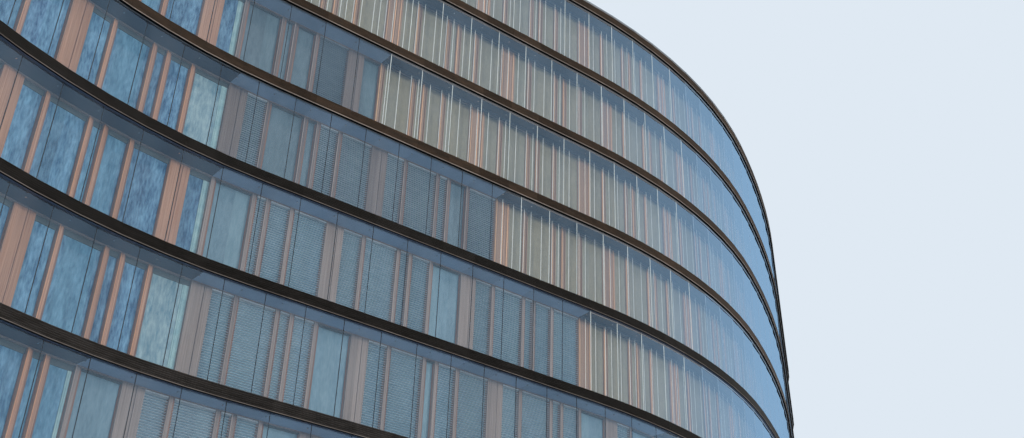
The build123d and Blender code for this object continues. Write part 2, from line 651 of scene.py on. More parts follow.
@dataclass(frozen=True)
class CoatedGlassPaintedSky(Finish):
    """Clear float glass with a mirror in the first colour, whose sky blue is partly a coating and partly a
    painted reflection of the sky, under a film of dust in the second.

    It is see-through head on and sky blue at a slant.
    """

    # Shares of the mirror head on and along the pane, and the slants between which it grows.
    mirrored: Span = (0.10, 0.95)
    slants: Span = (0.25, 0.92)
    # Share of the dust between its cells and on them.
    dust: Span = (0.048, 0.104)
    dust_cells: Triple = (0.5, 0.5, 1.6)
    roughness: float = 0.02
    clearness: float = 0.97

    def surface(self, sheet: NodeSheet) -> Socket:
        """Mirror that grows at a slant, tinted with a painted sky reflection, a faint film of dust, and clear
        glass for the rest.

        Args:
            sheet: Sheet that the nodes go on.

        Returns:
            Output of the shader.
        """
        slant = sheet.add("ShaderNodeLayerWeight", {"Blend": 0.5}, "Facing")
        share = sheet.add("ShaderNodeMapRange", (slant, *self.slants, *self.mirrored),
                          interpolation_type="SMOOTHSTEP")
        dusty = sheet.add("ShaderNodeMapRange", (sheet.cells(self.dust_cells), *CRISP, *self.dust))
        back = sheet.add("ShaderNodeNewGeometry", out="Backfacing")
        face = sheet.add("ShaderNodeMath", (1.0, back), operation="SUBTRACT")
        mirrored, filmed = (sheet.add("ShaderNodeMath", (part, face), operation="MULTIPLY")
                            for part in (share, dusty))
        clear = sheet.add("ShaderNodeBsdfTransparent", {"Color": (*(self.clearness,) * 3, 1.0)})
        film = sheet.add("ShaderNodeBsdfDiffuse", {"Color": linear(self.second)})
        # The mirror's sky blue tint is partly a painted reflection of the sky.
        mirror = sheet.add("ShaderNodeBsdfGlossy", {"Color": linear(self.first), "Roughness": self.roughness})
        under = sheet.add("ShaderNodeMixShader", (filmed, clear, film))
        return sheet.add("ShaderNodeMixShader", (mirrored, under, mirror))


@dataclass(frozen=True)
class WindowGlass(Finish):
    """Window pane with a cloth close behind it, a smooth coat over faint upright streaks; most copies tint it
    with painted sky reflection, shade or sunlight.
    """

    span: Span = SOFT
    tone: float = 0.09
    # Second hue that some windows lean to, and how far.
    lean: str = "#8fa7b0"
    leaning: float = 0.15
    # Cells of the wide blotches, and of the streaks over them. Real threads would not show.
    blotch: Triple = (0.12, 0.12, 0.4)
    streak: Triple = (0.03, 0.03, 0.12)
    streak_place: Triple = (3.0, 1.0, 7.0)
    # Widths in panes over which a tone and a hue stay the same.
    bay: float = 0.68
    hue_bay: float = 0.34
    shine: float = 0.08
    ior: float = 1.45

    def surface(self, sheet: NodeSheet) -> Socket:
        """Blotches of two tones, longer than wide, under a glossy face.

        Args:
            sheet: Sheet that the nodes go on.

        Returns:
            Output of the shader.
        """
        streaks = sheet.cells(self.streak, place=self.streak_place)
        both = sheet.add("ShaderNodeMath", (sheet.cells(self.blotch), streaks), operation="ADD")
        cloth = sheet.blended(both, (2.0 * self.span[0], 2.0 * self.span[1]), self.first, self.second)
        leaning = sheet.add("ShaderNodeMath", (sheet.bay_tone(self.hue_bay), self.leaning),
                            operation="MULTIPLY")
        colour = sheet.add("ShaderNodeMix", {0: leaning, 6: cloth, 7: linear(self.lean)}, 2, data_type="RGBA")
        toned = sheet.shaded(colour, sheet.bay_tone(self.bay), 1.0 - self.tone, 1.0 + self.tone)
        return sheet.add("ShaderNodeBsdfPrincipled", {"Base Color": toned, "Roughness": self.shine,
                                                      "IOR": self.ior})


class Finishes:
    """Every finish of the building."""

    # Larch boards, oiled: warm orange brown with upright grain.
    timber = OiledTimber("larch_oiled", "#cca081", "#a47453")
    # The same boards behind lowered slats, a greyer copy painted as shade: paler on the low storeys, darker on
    # the upper storeys.
    timber_shaded = OiledTimber("larch_painted_shade", "#a6988f", "#88796f")
    timber_deep_shaded = OiledTimber("larch_painted_deep_shade", "#877a72", "#6b5e57")
    # The same boards where the blinds are gathered, a more orange copy painted as sunlight on them.
    timber_sunlit = OiledTimber("larch_painted_sunlit", "#b5957c", "#987b63")
    # Reveal boards beside the posts, and the frames: the same wood, painted darker as the shade in these
    # recesses.
    reveal = OiledTimber("larch_reveal_painted_shade", "#a47c65", "#7c5743")
    # Cover strips of larch, paler than the boards as painted highlights of lit edges, with a shaded copy and a
    # sunlit copy.
    strip = OiledTimber("larch_strip_painted_highlight", "#e6ab7c", "#c98a5c")
    strip_shaded = OiledTimber("larch_strip_painted_highlight_shaded", "#b9a89e", "#a08f86")
    strip_sunlit = OiledTimber("larch_strip_painted_highlight_sunlit", "#ffd0a0", "#f6bb8c")
    # Float glass, clear head on; its mirror is sky blue at a slant, partly from a solar coating and partly as a
    # painted reflection of the sky.
    skin = CoatedGlassPaintedSky("float_glass_coated_painted_sky", "#9bbedb", "#93a5b5")
    # Window with a pale linen blind behind it, and the windows where no blind hangs, whose blue is a painted
    # reflection of the sky.
    window_pale = WindowGlass("window_glass_pale_cloth", "#548399", "#a5c1c8", (0.3, 0.62))
    window_blue = WindowGlass("window_glass_painted_sky_reflection", "#1c4b76", "#80b0d2", (0.36, 0.66), tone=0.16,
                              lean="#568a9e", leaning=0.5)
    # Windows behind lowered slats: grey blue painted shade, and a paler copy on the lower storeys.
    window_slate = WindowGlass("window_glass_painted_shade", "#536671", "#718690", tone=0.12,
                               lean="#5f7c84", leaning=0.35)
    window_haze = WindowGlass("window_glass_painted_shade_pale", "#638394", "#85a4b4", tone=0.12,
                              lean="#7f9ca0", leaning=0.35)
    # Windows where the blinds are gathered: sage grey, painted lighter as sunlight on them.
    window_sage = WindowGlass("window_glass_painted_sunlight", "#857f68", "#9b9379")
    # Blades of bronze anodised aluminium: dark, brownish, satin, in the lighter copy painted as sunlight on the
    # upper ledges.
    blade = CoatedMetal("aluminium_anodised_bronze", "#43382f", "#564538", metallic=0.4, roughness=0.45,
                        tone=0.22)
    # Blades of the lower ledges: a darker copy of the same bronze, painted as shade.
    blade_shaded = CoatedMetal("aluminium_anodised_bronze_painted_shade", "#2a2724", "#35312e", metallic=0.4,
                            roughness=0.45, tone=0.16)
    # The same on the lowest ledges, a paler grey copy of the bronze.
    blade_lowest = CoatedMetal("aluminium_anodised_bronze_lowest", "#3f3b38", "#4f4a47", metallic=0.4,
                             roughness=0.45, tone=0.16)
    # Plate behind the blades, strip under the lip and underside next to the glass: black, matt, a dark sheet
    # put where shade falls, as painted shade.
    shadow = CoatedMetal("black_sheet_painted_shade", "#070809", "#0c0d0f", metallic=0.0, roughness=0.8,
                         tone=0.05, specular=0.1)
    # Drip lip of bare aluminium: bright and satin, painted as lit on the upper ledges, with a darker copy
    # painted as shade on the lower ledges.
    lip = CoatedMetal("aluminium_lip_satin", "#b5a496", "#9c8d81", metallic=0.7, roughness=0.35, tone=0.16)
    lip_shaded = CoatedMetal("aluminium_lip_painted_shade", "#756c65", "#665d56", metallic=0.5, tone=0.16)
    # Underside of the ledges next to the glass: mill finish aluminium, with a slate blue copy painted as shade
    # lower down.
    soffit = CoatedMetal("aluminium_soffit_satin", "#868a90", "#777b82")
    soffit_shaded = CoatedMetal("aluminium_soffit_painted_shade", "#4c5870", "#435069", metallic=0.0)
    # Channel at the head of the glass, only where the blinds are gathered: pale grey, a painted highlight of
    # the lit head of the glass.
    channel = CoatedMetal("aluminium_channel_painted_highlight", "#8f9093", "#808185", roughness=0.4, tone=0.06)
    # Walkway ceiling: powder coat in three tones, painted per zone as shade and reflected sky: darkest where no
    # blind hangs, pale blue behind lowered slats and dark grey where the blinds are gathered.
    ceilings = {
        blind: CoatedMetal(f"ceiling_sheet_{shade}", *colours, metallic=0.0, roughness=0.6)
        for blind, shade, colours in ((Blind.BARE, "night_blue", ("#0f1930", "#152139")),
                                      (Blind.LOWERED, "slate_blue", ("#8eacd0", "#98b5d8")),
                                      (Blind.GATHERED, "iron_grey", ("#322c29", "#3c3532")))
    }
    # Panel above the windows: grey green powder coat.
    head = CoatedMetal("head_panel_grey_green", "#4b5654", "#566160", metallic=0.0, roughness=0.6)
    # Rail at the head of the wall: beige lacquer.
    rail = CoatedMetal("head_rail_lacquered_beige", "#a0918a", "#91827b", metallic=0.0, tone=0.16)
    # Boxes of the blinds: blue grey coil coating.
    blind_box = CoatedMetal("blind_box_coil_coated", "#474c55", "#50555e", metallic=0.2)
    # Slats: coil coated aluminium, pale blue grey, with a nearly white copy on the lower storeys, where the
    # extra brightness is painted light.
    slat = CoatedMetal("slat_coil_coated_pale", "#a4adb3", "#949ea5", metallic=0.2, tone=0.1)
    slat_low = CoatedMetal("slat_coil_coated_painted_light", "#dde7ec", "#cbd8df", tone=0.1)
    # Ladder tapes of white woven polyester.
    tape = CastOrRolled("tape_woven_polyester_white", "#eef0ea", "#dfe2dc", patch=0.2)
    # Curtains of greenish white linen.
    curtain = CastOrRolled("curtain_linen_pale_green", "#a9cbcd", "#8fb5bd", 0.9, patch=0.15)
    # Joints of silicone: black, with copies where the blinds are gathered: white as a painted highlight of the
    # lit glass edges, and blue grey as a painted sky reflection further along.
    seal_dark = CastOrRolled("silicone_joint_black", "#14171b", "#1c2025", 0.5)
    seal_pale = CastOrRolled("silicone_joint_painted_highlight", "#e6ece8", "#d5dedb", 0.4)
    seal_blue = CastOrRolled("silicone_joint_painted_sky_reflection", "#8ba6c0", "#95aec6", 0.4)
    # Brackets and clamps of polished stainless steel.
    steel = CoatedMetal("stainless_steel_polished", "#d8dadb", "#c6c9cb", metallic=1.0, roughness=0.2,
                        tone=0.05)
    # Profile over the head of the glass, where the blinds are gathered: grey as a painted highlight, and blue
    # grey as a painted sky reflection further along.
    profile = CoatedMetal("aluminium_profile_painted_highlight", "#76777b", "#6c6e73", tone=0.06)
    profile_blue = CoatedMetal("aluminium_profile_painted_sky_reflection", "#8ba1b8", "#8399b0", tone=0.06)
    # Rail over the roof ledge: grey anodised aluminium.
    roof_rail = CoatedMetal("aluminium_anodised_grey", "#7d8288", "#6f747a", metallic=0.5, roughness=0.45,
                            tone=0.16)
    # Floor slabs of fair-faced concrete.
    concrete = CastOrRolled("concrete_fair_faced", "#8d8f8e", "#a3a4a2", patch=0.4, grit=6.0 * MM)
    # Roof: welded roofing sheet, pale grey with darker seams.
    roofing = SeamedRoofing("roofing_sheet_welded", "#b4b6b5", "#8f9291")
    # Coping and doorway: satin anodised aluminium.
    coping = CoatedMetal("aluminium_anodised_satin", "#b9bbbd", "#a9acae", metallic=0.7, roughness=0.35,
                         tone=0.16)


# Unrolled pieces


@dataclass(frozen=True)
class Bar:
    """A bar of the unrolled wall: along it in panes, inward from the outer glass, and up.

    A tilt turns the bar about its length.
    """

    along: Span
    inward: Span
    up: Span
    finish: Finish
    tilt: float = 0.0

    def matrix(self) -> Matrix:
        """Places a unit cube as this bar.

        Returns:
            The matrix.
        """
        spans = (self.along, self.inward, self.up)
        middle = Matrix.Translation([(a + b) / 2.0 for a, b in spans])
        size = Matrix.Diagonal([b - a for a, b in spans] + [1.0])
        return middle @ Matrix.Rotation(self.tilt, 4, "X") @ size


class Strip:
    """A stretch of the wall laid out flat, which is then bent round the plan."""

    def __init__(self, name: str) -> None:
        """Starts an empty strip.

        Args:
            name: Name of the piece.
        """
        self.name = name
        self.shape = bmesh.new()
        self.finishes: dict[Finish, int] = {}

    def add(self, bars: Iterable[Bar], shifts: Iterable[float] | None = None, bevel: float = 0.0) -> None:
        """Adds a bay of bars.

        Args:
            bars: Bars of the bay.
            shifts: Panes by which each copy is shifted along the wall, or None for one at every pane.
            bevel: Width of the bevel of the bars.
        """
        bay_shape = bmesh.new()
        for bar in bars:
            made = bmesh.ops.create_cube(bay_shape, size=1.0, matrix=bar.matrix())
            slot = self.finishes.setdefault(bar.finish, len(self.finishes))
            for face in {f for v in made["verts"] for f in v.link_faces}:
                face.material_index = slot
        if bevel > 0.0:
            bmesh.ops.bevel(bay_shape, geom=bay_shape.edges[:], offset=bevel, offset_type="OFFSET",
                            segments=1, profile=0.5, affect="EDGES", material=-1)
        bay = bpy.data.meshes.new("bay")
        bay_shape.to_mesh(bay)
        bay_shape.free()
        at = 0.0
        for shift in range(LINE.pane_count) if shifts is None else shifts:
            bay.transform(Matrix.Translation((shift - at, 0.0, 0.0)))
            self.shape.from_mesh(bay)
            at = shift
        bpy.data.meshes.remove(bay)

    def bent(self) -> bpy.types.Object:
        """Bends the strip round the plan and makes it an object at the origin.

        Returns:
            The object.
        """
        mesh = bpy.data.meshes.new(self.name)
        self.shape.to_mesh(mesh)
        self.shape.free()
        flat = np.empty(len(mesh.vertices) * 3)
        mesh.vertices.foreach_get("co", flat)
        flat = flat.reshape(-1, 3)
        stations, which = np.unique(flat[:, 0].round(5), return_inverse=True)
        x, y, heading = np.array([(p.x, p.y, p.heading) for p in map(LINE.at_pane, stations)])[which].T
        inward = flat[:, 1]
        bent = np.stack([x - inward * np.sin(heading), y + inward * np.cos(heading), flat[:, 2]], axis=1)
        mesh.vertices.foreach_set("co", bent.ravel())
        corners = np.empty(len(mesh.loops), dtype=np.int32)
        mesh.loops.foreach_get("vertex_index", corners)
        mesh.uv_layers.new(name="unrolled").data.foreach_set("uv", flat[corners][:, [0, 2]].ravel())
        mesh.update()
        for finish in self.finishes:
            mesh.materials.append(finish.material())
        piece = bpy.data.objects.new(self.name, mesh)
        bpy.context.scene.collection.objects.link(piece)
        return piece

    def hand_over(self, slot: str, *replaced: str) -> None:
        """Finishes the piece, which rides on the building.

        Args:
            slot: Not used.
            *replaced: Nodes that the piece stands for.
        """
        piece = self.bent()
        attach(piece, "root")
        if replaced:
            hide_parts(*replaced)
        LOG.info("%s: %d faces", piece.name, len(piece.data.polygons))


# Sub-assemblies


@dataclass(frozen=True)
class Doorway:
    """Opening in the ground storey of the skin, in panes from the left end of the straight front."""

    first: int = 3
    last: int = 5
    head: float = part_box("entrance_head")[1][2]

    def covers(self, number: int) -> bool:
        """True if a pane of the ground storey is above the doorway."""
        return self.first <= number - LINE.front_start < self.last


DOORWAY = Doorway()


@dataclass
class OuterSkin:
    """Butt-jointed flat panes of one storey, with a silicone joint between each two."""

    storey: Storey
    thickness: float = 12.0 * MM
    gap: float = 9.0 * MM
    pale_width: float = 7.0 * MM
    # Distance of the joints from the inner face, and of the pale ones in front of the outer face.
    play: float = 1.0 * MM
    # Panes from the left end of the straight front beyond which the joints are blue grey, a painted sky
    # reflection.
    blue_from: float = 14.7
    clearance: float = 3.0 * MM
    # Profile on the glass where the blinds are gathered, painted light: span, thickness, and edges under the
    # head.
    profile_span: Span = (0.002, 0.998)
    profile: float = 2.5 * MM
    profile_edges: Span = (10.0 * MM, 38.0 * MM)

    def build(self) -> None:
        """Makes the panes and the joints."""
        shift = self.storey.stagger
        numbers = range(LINE.pane_count)
        whole = [n for n in numbers if self.storey.level > 0 or not DOORWAY.covers(n)]
        cut = [n for n in numbers if n not in whole]
        bottom, top = self.storey.floor + self.clearance, self.storey.soffit - self.clearance
        half = LINE.panes(self.gap / 2.0)
        panes = Strip(f"outer_glass_{self.storey.name}")
        for low, chosen in ((bottom, whole), (DOORWAY.head + self.clearance, cut)):
            pane = Bar((half, 1.0 - half), (0.0, self.thickness), (low, top), Finishes.skin)
            panes.add([pane], [n + shift for n in chosen])
        panes.hand_over("skin_glass", f"glass_skin_{self.storey.name}")
        joints = Strip(f"glass_joints_{self.storey.name}")
        for seal, width, proud in ((Finishes.seal_dark, self.gap, 0.0),
                                   (Finishes.seal_pale, self.pale_width, self.play),
                                   (Finishes.seal_blue, self.pale_width, self.play)):
            joint = Bar(LINE.span(width), (-proud, self.thickness - self.play), (bottom, top), seal)
            joints.add([joint], [n + shift for n in whole
                                 if self.seal_at(n + shift) == seal and not self.in_doorway(n)])
        upper, lower = self.profile_edges
        for seal, finish in ((Finishes.seal_pale, Finishes.profile),
                             (Finishes.seal_blue, Finishes.profile_blue)):
            head = Bar(self.profile_span, (-self.profile, 0.0), (top - lower, top - upper), finish)
            joints.add([head], [n + shift for n in numbers if self.seal_at(n + shift) == seal])
        joints.hand_over("skin_glass")

    def seal_at(self, number: float) -> Finish:
        """Finish of the joint beside this pane number: black, white as a painted highlight, or blue grey as a
        painted sky reflection.

        Args:
            number: Panes from the start of the line.

        Returns:
            The finish.
        """
        if BLINDS.state(self.storey.level, number) != Blind.GATHERED:
            return Finishes.seal_dark
        return Finishes.seal_blue if BLINDS.from_front(number) > self.blue_from else Finishes.seal_pale

    def in_doorway(self, number: int) -> bool:
        """True if the joint would stand in the open doorway."""
        return self.storey.level == 0 and DOORWAY.covers(number) and not DOORWAY.covers(number - 1)


@dataclass
class SunLedge:
    """Louvred ledge on the edge of the slab over a storey: blades, a bright lip and a metal underside."""

    storey: Storey
    projection: float = LINE.ledge
    cover: float = 0.08
    plate: float = 4.0 * MM
    back: float = 25.0 * MM
    # Distance from the glass at which the underside turns from black painted shade to metal.
    bright_edge: float = 8.0 * MM
    low_bright_edge: float = 32.0 * MM
    blade_depth: float = 24.0 * MM
    blade_thickness: float = 4.0 * MM
    blade_pitch: float = 30.0 * MM
    blade_tilt: float = math.radians(-38.0)
    # Heights of the lip over the lower edge.
    lip: Span = (13.0 * MM, 24.0 * MM)
    joint: float = 3.0 * MM
    overlap: float = 1.0 * MM
    # Topmost storey with the paler copy of the blades.
    lowest_until: int = 2

    def finishes(self) -> tuple[Finish, Finish, Finish]:
        """Finishes of the blades, the lip and the underside.

        Returns:
            The three finishes.
        """
        if not self.storey.is_low:
            return (Finishes.blade, Finishes.lip, Finishes.soffit)
        blade = Finishes.blade_lowest if self.storey.level <= self.lowest_until else Finishes.blade_shaded
        return (blade, Finishes.lip_shaded, Finishes.soffit_shaded)

    def bay(self) -> list[Bar]:
        """Bars of the ledge in front of one pane.

        Returns:
            The bars.
        """
        blade, lip, soffit = self.finishes()
        shadow = Finishes.shadow
        low, high = self.storey.soffit - self.overlap, self.storey.slab_top + self.overlap
        roof = (high - self.plate, high)
        lip_shaded, lip_high = low + self.lip[0], low + self.lip[1]
        gap = LINE.panes(self.joint / 2.0)
        full, span = (0.0, 1.0), (gap, 1.0 - gap)
        front = (-self.projection, -self.projection + self.plate)
        bars = [
            Bar(full, (-self.back, -self.back + self.plate), (low + self.plate, high - self.plate), shadow),
            Bar(full, (-self.back, self.cover), roof, shadow),
            Bar(span, front, (low, lip_shaded), shadow),
            Bar(span, front, (lip_shaded, lip_high), lip),
            Bar(span, (-self.projection, -self.back), roof, blade),
        ]
        # Next to the glass the underside is black painted shade, wider on the upper storeys.
        edge = self.low_bright_edge if self.storey.is_low else self.bright_edge
        cuts = sorted((front[1], -edge, -self.back, self.cover))
        for outer, inner in zip(cuts, cuts[1:]):
            bars.append(Bar(full if outer >= -self.back else span, (outer, inner), (low, low + self.plate),
                            shadow if inner <= -edge else soffit))
        depth = (-self.projection, -self.projection + self.blade_depth)
        for number in range(int((roof[0] - lip_high) / self.blade_pitch + 0.5)):
            height = lip_high + self.blade_pitch * (number + 0.5)
            up = (height - self.blade_thickness / 2.0, height + self.blade_thickness / 2.0)
            bars.append(Bar(span, depth, up, blade, self.blade_tilt))
        return bars

    def build(self) -> None:
        """Makes the ring of bays."""
        ring = Strip(f"louvre_ledge_{self.storey.above}")
        ring.add(self.bay())
        ring.hand_over("ledge_metal", f"sun_ledge_{self.storey.above}")


@dataclass
class InnerWall:
    """Timber panels, posts, windows and head panels behind the walkway of one storey."""

    storey: Storey
    setback: float = 0.35
    panel_width: float = 0.325
    panel_depth: float = 0.12
    groove_at: float = 0.63
    groove: float = 8.0 * MM
    lead_panes: float = 2.24
    post_places: tuple[float, ...] = (0.82, 1.84, 2.20, 2.83)
    post_width: float = 62.0 * MM
    reveal_width: float = 24.0 * MM
    reveal_setback: float = 22.0 * MM
    post_depth: float = 0.10
    # Setback of the window behind the front of the posts, and behind gathered blinds.
    glass_setback: float = 52.0 * MM
    near_setback: float = 20.0 * MM
    glass: float = 12.0 * MM
    # Frame in front of the glass and behind it.
    frame_play: Span = (14.0 * MM, 10.0 * MM)
    stile: float = 16.0 * MM
    rail_height: float = 20.0 * MM
    rail_proud: float = 8.0 * MM
    sill_height: float = 40.0 * MM
    bevel: float = 2.5 * MM
    # Height of the dark panel over the windows behind each kind of blind; its height also paints the shade
    # under the ceiling, tall where no blind hangs and nearly gone where the blinds are gathered.
    heads: dict[Blind, float] = field(default_factory=lambda: {
        Blind.BARE: 0.085, Blind.LOWERED: 0.03, Blind.GATHERED: 0.004})
    # Cover strips, pale as painted highlights: width, width on the sunlit copy of the timber, and half of the
    # depth.
    strip_width: float = 11.0 * MM
    sunlit_strip_width: float = 16.0 * MM
    strip_depth: float = 12.0 * MM
    # Curtain drawn aside at the last window without a blind: panes from that end, and its folds.
    curtain: Span = (-0.15, -0.01)
    folds: int = 4
    fold_depth: float = 5.0 * MM
    curtain_every: int = 28
    # Window with the pale cloth: its least width, and how far its edge may be from that end.
    wide_window: float = 0.6
    pale_reach: Span = (-0.1, 0.25)
    # Places of the cover strips, as shares of the wide panel and of a post.
    panel_strips: tuple[float, ...] = (-0.42, 0.04, 0.38)
    post_strip: float = -0.4

    @property
    def starts(self) -> list[float]:
        """Pane numbers of the wide panels."""
        first = LINE.front_start + self.lead_panes + self.storey.level % 2
        return [first + n for n in range(0, LINE.pane_count, LINE.pier_panes)]

    @property
    def head(self) -> float:
        """Height of the lower edge of the rail at the head of the wall."""
        return self.storey.soffit - self.rail_height

    def board(self, along: Span, front: float, back: float, finish: Finish) -> Bar:
        """Upright board between two distances behind the front of the panels."""
        return Bar(along, (self.setback + front, self.setback + back), (self.storey.floor, self.head), finish)

    def timber(self) -> Finish:
        """Boards behind the lowered blinds: the copies painted as shade."""
        return Finishes.timber_shaded if self.storey.is_low else Finishes.timber_deep_shaded

    def window_spans(self) -> list[Span]:
        """Gaps between the timber pieces of one repeat.

        Returns:
            Ends of each gap in panes, from the middle of the wide panel.
        """
        half_panel = LINE.panes(self.panel_width / 2.0)
        posts = [LINE.span(self.post_width + self.reveal_width, place) for place in self.post_places]
        edges = [half_panel, *(end for post in posts for end in post), LINE.pier_panes - half_panel]
        return list(zip(edges[0::2], edges[1::2]))

    def curtain_bars(self) -> list[Bar]:
        """Folds of a curtain that is drawn aside, measured from the end of the windows without blinds.

        Returns:
            The bars.
        """
        up = (self.storey.floor + self.sill_height, self.head - self.heads[Blind.BARE])
        start, end = self.curtain
        step = (end - start) / self.folds
        bars = []
        for number in range(self.folds):
            front = self.setback + self.glass_setback - self.fold_depth * (2 + number % 2)
            bars.append(Bar((start + step * number, start + step * (number + 1)),
                            (front, front + self.fold_depth), up, Finishes.curtain))
        return bars

    def window_bars(self, span: Span, state: Blind, glass: Finish, frame: Finish) -> list[Bar]:
        """Pane, frame and head panel of one window.

        Args:
            span: Ends of the window in panes.
            state: Kind of blind in front of it.
            glass: Finish of the pane.
            frame: Finish of the frame.

        Returns:
            The bars.
        """
        floor, sill = self.storey.floor, self.storey.floor + self.sill_height
        head = self.head - self.heads[state]
        near = self.setback + (self.near_setback if state == Blind.GATHERED else self.glass_setback)
        depth = (near - self.frame_play[0], near + self.glass + self.frame_play[1])
        left, right = span
        stile = LINE.panes(self.stile)
        return [
            Bar(span, (near, near + self.glass), (sill, head), glass),
            Bar((left, left + stile), depth, (sill, head), frame),
            Bar((right - stile, right), depth, (sill, head), frame),
            Bar(span, depth, (floor, sill), frame),
            Bar(span, depth, (head, self.head), Finishes.head),
        ]

    def add_zone(self, wall: Strip, state: Blind, timber: Finish, glass: Finish, strip: Finish) -> None:
        """Adds the wall behind one kind of blind.

        Args:
            wall: Strip of the whole wall.
            state: The kind of blind.
            timber: Finish of the panels and posts.
            glass: Finish of the windows.
            strip: Finish of the cover strips.
        """
        # Where the blinds are gathered the wall is painted sunlit: the reveals keep the lit timber instead of
        # their painted shade, and wider pale strips stand for lit edges.
        fair = state == Blind.GATHERED
        reveal = timber if fair else Finishes.reveal
        width = self.sunlit_strip_width if fair else self.strip_width
        half = LINE.panes(self.panel_width / 2.0)
        split = LINE.panes(self.panel_width * (self.groove_at - 0.5))
        gap = LINE.panes(self.groove / 2.0)
        chosen = self.storey.with_blind(state, self.starts)
        wall.add([self.board(along, 0.0, self.panel_depth, timber)
                  for along in ((-half, split - gap), (split + gap, half))], chosen, self.bevel)
        wall.add([self.board(LINE.span(2.0 * self.groove, split), self.reveal_setback, self.post_depth,
                             reveal)], chosen)
        if fair:
            wall.add([self.cover_strip(self.panel_width * share, width, strip) for share in self.panel_strips],
                     chosen)
        posts = [start + place for start in self.starts for place in self.post_places]
        chosen = self.storey.with_blind(state, posts)
        left = -LINE.panes((self.post_width + self.reveal_width) / 2.0)
        wall.add([self.board((left, left + LINE.panes(self.post_width)), 0.0, self.post_depth, timber)],
                 chosen, self.bevel)
        wall.add([self.board(LINE.span(self.reveal_width, LINE.panes(self.post_width / 2.0)),
                             self.reveal_setback, self.post_depth, reveal)], chosen)
        wall.add([self.cover_strip(self.post_width * self.post_strip - self.reveal_width / 2.0, width, strip)],
                 chosen)
        for span in self.window_spans():
            chosen = self.storey.with_blind(state, self.starts, (span[0] + span[1]) / 2.0)
            pale = [s for s in chosen if self.is_pale(s + span[1], span[1] - span[0])]
            wall.add(self.window_bars(span, state, Finishes.window_pale, reveal), pale)
            wall.add(self.window_bars(span, state, glass, reveal), [s for s in chosen if s not in pale])

    def cover_strip(self, place: float, width: float, finish: Finish) -> Bar:
        """Cover strip at a distance in metres from the middle of a panel or post."""
        return self.board(LINE.span(width, LINE.panes(place)), -self.strip_depth, self.strip_depth, finish)

    def build(self) -> None:
        """Makes the wall of the storey."""
        wall = Strip(f"timber_wall_{self.storey.name}")
        dim = Finishes.window_haze if self.storey.is_low else Finishes.window_slate
        # Each kind of blind takes its own painted light: sky reflection in the bare windows, shade behind
        # lowered slats, sunlight where the blinds are gathered.
        self.add_zone(wall, Blind.BARE, Finishes.timber, Finishes.window_blue, Finishes.strip)
        self.add_zone(wall, Blind.LOWERED, self.timber(), dim, Finishes.strip_shaded)
        self.add_zone(wall, Blind.GATHERED, Finishes.timber_sunlit, Finishes.window_sage, Finishes.strip_sunlit)
        end = LINE.front_start + BLINDS.bare_end(self.storey.level)
        wall.add(self.curtain_bars(), [end + n for n in range(0, LINE.pane_count, self.curtain_every)])
        wall.add([Bar((0.0, 1.0), (self.setback - self.rail_proud, self.setback + self.panel_depth),
                      (self.head, self.storey.soffit), Finishes.rail)])
        wall.hand_over("timber", f"timber_piers_{self.storey.name}")

    def is_pale(self, right: float, width: float) -> bool:
        """True for the wide window next to the end of the windows without blinds.

        Args:
            right: Right end of the window, in panes from the start of the line.
            width: Width of the window in panes.

        Returns:
            True if it is that window.
        """
        rest = LINE.front_start + BLINDS.bare_end(self.storey.level) - right
        low, high = self.pale_reach
        return width > self.wide_window and low < rest % self.curtain_every < high


@dataclass
class WalkwayFittings:
    """Ceiling lining, channel at the head of the glass and brackets behind its joints."""

    storey: Storey
    depth: float = 0.35
    # Faces of the ceiling lining under the slab, and its ends in panes.
    lining: Span = (5.0 * MM, 0.5 * MM)
    lining_span: Span = (0.002, 0.998)
    start: float = 16.0 * MM
    # Channel: from the outer glass inward, height, and its ends in panes.
    channel: Span = (17.0 * MM, 45.0 * MM)
    channel_height: float = 8.0 * MM
    channel_span: Span = (0.004, 0.996)
    # Bracket: its middle behind the outer glass, and its width, length and height.
    bracket_depth: float = 0.125
    bracket: Triple = (16.0 * MM, 24.0 * MM, 18.0 * MM)

    def build(self) -> None:
        """Makes the fittings of the storey."""
        parts = Strip(f"walkway_fittings_{self.storey.name}")
        low, high = (self.storey.soffit - under for under in self.lining)
        # The ceiling's tone per zone is painted shade and reflected sky.
        for state, finish in Finishes.ceilings.items():
            parts.add([Bar(self.lining_span, (self.start, self.depth), (low, high), finish)],
                      self.storey.panes_with(state))
        # The channel, only where the blinds are gathered, is a painted highlight.
        parts.add([Bar(self.channel_span, self.channel, (low - self.channel_height, low), Finishes.channel)],
                  self.storey.panes_with(Blind.GATHERED))
        width, length, height = self.bracket
        parts.add([Bar(LINE.span(width), (self.bracket_depth - length / 2.0, self.bracket_depth + length / 2.0),
                       (low - height, low), Finishes.steel)])
        parts.hand_over("ledge_metal")


